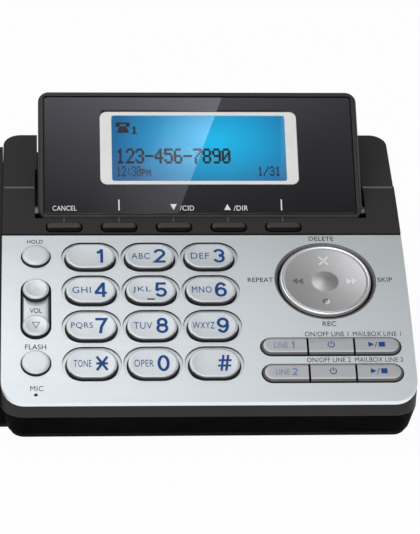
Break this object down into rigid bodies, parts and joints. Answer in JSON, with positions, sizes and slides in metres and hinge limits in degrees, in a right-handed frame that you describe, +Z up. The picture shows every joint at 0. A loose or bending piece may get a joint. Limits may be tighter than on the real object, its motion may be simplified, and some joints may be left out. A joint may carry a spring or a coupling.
{
  "type": "cordless phone base",
  "caption": "Desk base of a two-line cordless phone: arched silver keypad, rocking disc, tilting display and a charging cradle.",
  "frame": {"origin": "on the table under the middle of the whole unit", "axes": "+X to the right as seen by the user, +Y to the back, +Z up"},
  "size_m": [0.2018, 0.1216, 0.0706],
  "materials": {
    "housing_dark": "fine matt texture",
    "case_black": "matt",
    "silver_paint": "silver paint with a faint brushed grain",
    "key_silver": "satin silver",
    "line_key_grey": "satin grey silver",
    "disc_silver": "satin with a bright rim",
    "soft_key_black": "matt",
    "display_dark": "fine matt texture",
    "lens_black": "polished",
    "frame_white": "satin",
    "clear_window": "clear",
    "lcd_blue": "lit from behind",
    "diffuser_white": "translucent",
    "board_green": "solder mask",
    "steel": "plated",
    "speaker_dark": "dark basket",
    "socket_black": "matt",
    "contact_gold": "plated",
    "rubber_black": "matt",
    "silicone_grey": "matt"
  },
  "bodies": {
    "base": {"bottom_case": "case_black", "top_housing": "housing_dark", "faceplate": "silver_paint", "charging_cradle": "housing_dark", "hinge_pins": "steel", "main_board": "board_green", "dome_switches": "steel", "radio_shield": "steel", "speaker": "speaker_dark", "microphone": "steel", "line_sockets": "socket_black", "power_inlet": "socket_black", "charge_contacts": "contact_gold", "rubber_feet": "rubber_black", "case_screws": "steel", "board_screws": "steel"},
    "display": {"display_shell": "display_dark", "display_lens": "lens_black", "lcd_frame": "frame_white", "lcd_window": "clear_window", "lcd_panel": "lcd_blue", "backlight": "diffuser_white", "display_board": "board_green"},
    "key_1": {"key_1": "key_silver"},
    "key_2": {"key_2": "key_silver"},
    "key_3": {"key_3": "key_silver"},
    "key_4": {"key_4": "key_silver"},
    "key_5": {"key_5": "key_silver"},
    "key_6": {"key_6": "key_silver"},
    "key_7": {"key_7": "key_silver"},
    "key_8": {"key_8": "key_silver"},
    "key_9": {"key_9": "key_silver"},
    "key_star": {"key_star": "key_silver"},
    "key_0": {"key_0": "key_silver"},
    "key_pound": {"key_pound": "key_silver"},
    "hold_key": {"hold_key": "key_silver"},
    "flash_key": {"flash_key": "key_silver"},
    "line1_key": {"line1_key": "line_key_grey"},
    "power1_key": {"power1_key": "line_key_grey"},
    "play1_key": {"play1_key": "line_key_grey"},
    "line2_key": {"line2_key": "line_key_grey"},
    "power2_key": {"power2_key": "line_key_grey"},
    "play2_key": {"play2_key": "line_key_grey"},
    "soft_key_1": {"soft_key_1": "soft_key_black"},
    "soft_key_2": {"soft_key_2": "soft_key_black"},
    "soft_key_3": {"soft_key_3": "soft_key_black"},
    "soft_key_4": {"soft_key_4": "soft_key_black"},
    "soft_key_5": {"soft_key_5": "soft_key_black"},
    "volume_rocker": {"volume_rocker": "key_silver"},
    "disc_pivot": {"disc_pivot": "silicone_grey"},
    "message_disc": {"message_disc": "disc_silver"}
  },
  "joints": [
    {"name": "key_1_press", "type": "slide", "parent": "base", "child": "key_1", "axis": [0, 0.2868, -0.958], "range_m": [0, 0.0012], "stiffness_N_per_m": 400, "springref_m": -0.0005},
    {"name": "key_2_press", "type": "slide", "parent": "base", "child": "key_2", "axis": [0, 0.2868, -0.958], "range_m": [0, 0.0012], "stiffness_N_per_m": 400, "springref_m": -0.0005},
    {"name": "key_3_press", "type": "slide", "parent": "base", "child": "key_3", "axis": [0, 0.2868, -0.958], "range_m": [0, 0.0012], "stiffness_N_per_m": 400, "springref_m": -0.0005},
    {"name": "key_4_press", "type": "slide", "parent": "base", "child": "key_4", "axis": [0, 0.3259, -0.9454], "range_m": [0, 0.0012], "stiffness_N_per_m": 400, "springref_m": -0.0005},
    {"name": "key_5_press", "type": "slide", "parent": "base", "child": "key_5", "axis": [0, 0.3259, -0.9454], "range_m": [0, 0.0012], "stiffness_N_per_m": 400, "springref_m": -0.0005},
    {"name": "key_6_press", "type": "slide", "parent": "base", "child": "key_6", "axis": [0, 0.3259, -0.9454], "range_m": [0, 0.0012], "stiffness_N_per_m": 400, "springref_m": -0.0005},
    {"name": "key_7_press", "type": "slide", "parent": "base", "child": "key_7", "axis": [0, 0.3645, -0.9312], "range_m": [0, 0.0012], "stiffness_N_per_m": 400, "springref_m": -0.0005},
    {"name": "key_8_press", "type": "slide", "parent": "base", "child": "key_8", "axis": [0, 0.3645, -0.9312], "range_m": [0, 0.0012], "stiffness_N_per_m": 400, "springref_m": -0.0005},
    {"name": "key_9_press", "type": "slide", "parent": "base", "child": "key_9", "axis": [0, 0.3645, -0.9312], "range_m": [0, 0.0012], "stiffness_N_per_m": 400, "springref_m": -0.0005},
    {"name": "key_star_press", "type": "slide", "parent": "base", "child": "key_star", "axis": [0, 0.4025, -0.9154], "range_m": [0, 0.0012], "stiffness_N_per_m": 400, "springref_m": -0.0005},
    {"name": "key_0_press", "type": "slide", "parent": "base", "child": "key_0", "axis": [0, 0.4025, -0.9154], "range_m": [0, 0.0012], "stiffness_N_per_m": 400, "springref_m": -0.0005},
    {"name": "key_pound_press", "type": "slide", "parent": "base", "child": "key_pound", "axis": [0, 0.4025, -0.9154], "range_m": [0, 0.0012], "stiffness_N_per_m": 400, "springref_m": -0.0005},
    {"name": "hold_key_press", "type": "slide", "parent": "base", "child": "hold_key", "axis": [0, 0.285, -0.9585], "range_m": [0, 0.0012], "stiffness_N_per_m": 400, "springref_m": -0.0005},
    {"name": "flash_key_press", "type": "slide", "parent": "base", "child": "flash_key", "axis": [0, 0.4005, -0.9163], "range_m": [0, 0.0012], "stiffness_N_per_m": 400, "springref_m": -0.0005},
    {"name": "line1_key_press", "type": "slide", "parent": "base", "child": "line1_key", "axis": [0, 0.3849, -0.923], "range_m": [0, 0.0012], "stiffness_N_per_m": 400, "springref_m": -0.0005},
    {"name": "power1_key_press", "type": "slide", "parent": "base", "child": "power1_key", "axis": [0, 0.3849, -0.923], "range_m": [0, 0.0012], "stiffness_N_per_m": 400, "springref_m": -0.0005},
    {"name": "play1_key_press", "type": "slide", "parent": "base", "child": "play1_key", "axis": [0, 0.3849, -0.923], "range_m": [0, 0.0012], "stiffness_N_per_m": 400, "springref_m": -0.0005},
    {"name": "line2_key_press", "type": "slide", "parent": "base", "child": "line2_key", "axis": [0, 0.4111, -0.9116], "range_m": [0, 0.0012], "stiffness_N_per_m": 400, "springref_m": -0.0005},
    {"name": "power2_key_press", "type": "slide", "parent": "base", "child": "power2_key", "axis": [0, 0.4111, -0.9116], "range_m": [0, 0.0012], "stiffness_N_per_m": 400, "springref_m": -0.0005},
    {"name": "play2_key_press", "type": "slide", "parent": "base", "child": "play2_key", "axis": [0, 0.4111, -0.9116], "range_m": [0, 0.0012], "stiffness_N_per_m": 400, "springref_m": -0.0005},
    {"name": "soft_key_1_press", "type": "slide", "parent": "base", "child": "soft_key_1", "axis": [0, 0.2482, -0.9687], "range_m": [0, 0.0008], "stiffness_N_per_m": 400, "springref_m": -0.0005},
    {"name": "soft_key_2_press", "type": "slide", "parent": "base", "child": "soft_key_2", "axis": [0, 0.2482, -0.9687], "range_m": [0, 0.0008], "stiffness_N_per_m": 400, "springref_m": -0.0005},
    {"name": "soft_key_3_press", "type": "slide", "parent": "base", "child": "soft_key_3", "axis": [0, 0.2482, -0.9687], "range_m": [0, 0.0008], "stiffness_N_per_m": 400, "springref_m": -0.0005},
    {"name": "soft_key_4_press", "type": "slide", "parent": "base", "child": "soft_key_4", "axis": [0, 0.2482, -0.9687], "range_m": [0, 0.0008], "stiffness_N_per_m": 400, "springref_m": -0.0005},
    {"name": "soft_key_5_press", "type": "slide", "parent": "base", "child": "soft_key_5", "axis": [0, 0.2482, -0.9687], "range_m": [0, 0.0008], "stiffness_N_per_m": 400, "springref_m": -0.0005},
    {"name": "volume_rock", "type": "hinge", "parent": "base", "child": "volume_rocker", "pos_m": [-0.0235, -0.02536, 0.02864], "axis": [1, 0, 0], "range_deg": [-3, 3], "stiffness_Nm_per_rad": 0.05},
    {"name": "disc_rock_front_back", "type": "hinge", "parent": "base", "child": "disc_pivot", "pos_m": [0.0734, -0.01301, 0.02955], "axis": [1, 0, 0], "range_deg": [-2.5, 2.5], "stiffness_Nm_per_rad": 0.08},
    {"name": "disc_rock_left_right", "type": "hinge", "parent": "disc_pivot", "child": "message_disc", "pos_m": [0.0734, -0.01301, 0.02955], "axis": [0, 0.9498, 0.3129], "range_deg": [-2.5, 2.5], "stiffness_Nm_per_rad": 0.08},
    {"name": "display_tilt", "type": "hinge", "parent": "base", "child": "display", "pos_m": [0.033, 0.02022, 0.04157], "axis": [1, 0, 0], "range_deg": [-23.8, 25]}
  ]
}
